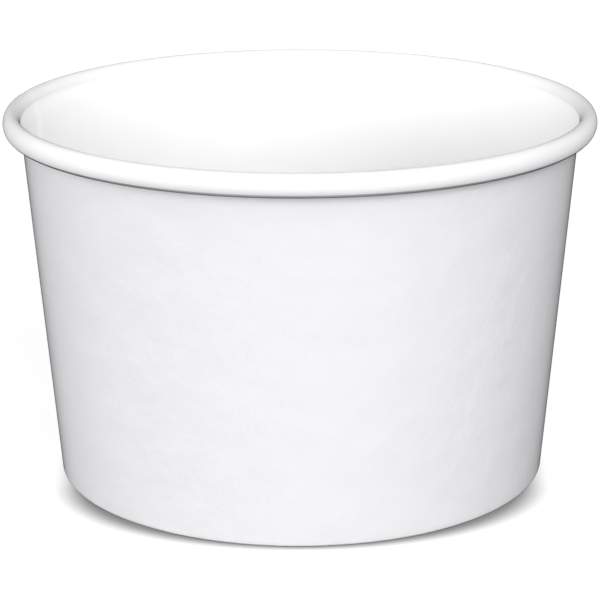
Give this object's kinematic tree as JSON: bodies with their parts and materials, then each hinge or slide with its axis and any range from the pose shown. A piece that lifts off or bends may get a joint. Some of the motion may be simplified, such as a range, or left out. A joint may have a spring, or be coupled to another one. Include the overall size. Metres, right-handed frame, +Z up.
{
  "type": "paper sundae cup",
  "caption": "Low white paperboard cup with a rolled rim, tapered wall, glued side seam and a recessed bottom, for ice cream or dessert.",
  "frame": {"origin": "centre of the base, on the plane that the cup rests on", "axes": "+Z up along the cup's axis towards the open mouth; -Y is the side that the picture shows; the side seam lies behind -X"},
  "size_m": [0.096, 0.096, 0.06],
  "materials": {
    "wall_board": "smooth coated white board, satin",
    "bottom_board": "smooth coated white board, satin"
  },
  "bodies": {
    "root": {"side_wall": "wall_board", "bottom_disc": "bottom_board"}
  },
  "joints": []
}
